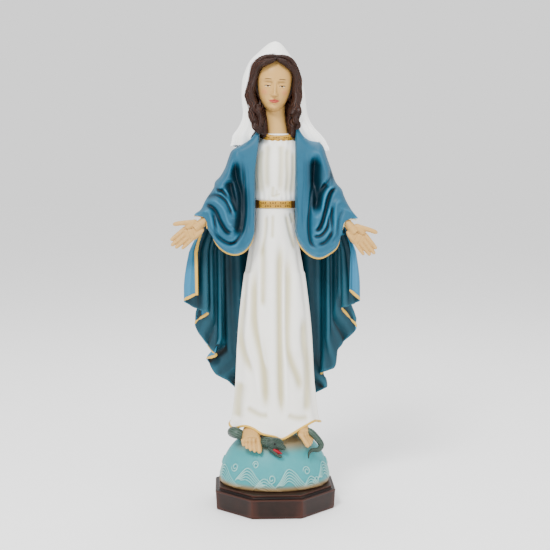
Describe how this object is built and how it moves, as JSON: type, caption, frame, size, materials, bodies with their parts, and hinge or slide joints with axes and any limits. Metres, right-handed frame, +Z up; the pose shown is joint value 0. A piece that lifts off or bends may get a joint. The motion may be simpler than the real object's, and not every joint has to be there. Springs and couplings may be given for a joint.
{
  "type": "madonna statue",
  "caption": "Standing veiled figure with open hands, in a long mantle over a pleated robe, on a small globe with a serpent, on a two-tier octagonal plinth.",
  "frame": {"origin": "centre of the underside of the felt pad under the plinth", "axes": "+Z up the figure, the front of the figure faces -Y, the figure's right hand is on -X"},
  "size_m": [0.1784, 0.104, 0.4007],
  "materials": {
    "plinth": "cast resin, dark brown paint under satin varnish",
    "felt": "green felt",
    "steel": "zinc-plated steel",
    "globe": "cast resin, pale blue paint with an antique wash",
    "serpent": "cast resin, dark grey-green paint",
    "skin": "cast resin, flesh-coloured paint",
    "tunic": "cast resin, off-white paint with a cream wash in the folds",
    "gold": "gold paint on resin",
    "mantle": "cast resin, blue paint with a dark wash in the folds",
    "cuff": "cast resin, cream paint",
    "hair": "cast resin, dark brown paint",
    "veil": "cast resin, white paint"
  },
  "bodies": {
    "root": {"plinth": "plinth", "base_felt": "felt", "plinth_screw": "steel", "globe": "globe", "core_rod": "steel", "serpent_body": "serpent", "serpent_head": "serpent", "serpent_tail": "serpent", "right_foot": "skin", "left_foot": "skin", "tunic_skirt": "tunic", "skirt_trim": "gold", "tunic_bodice": "tunic", "belt": "gold", "collar": "gold", "mantle_back": "mantle", "mantle_right": "mantle", "mantle_left": "mantle", "right_cuff": "cuff", "left_cuff": "cuff", "right_hand": "skin", "left_hand": "skin", "hand_dowels": "steel", "head": "skin", "hair_cap": "hair", "right_lock": "hair", "left_lock": "hair", "veil": "veil"}
  },
  "joints": []
}
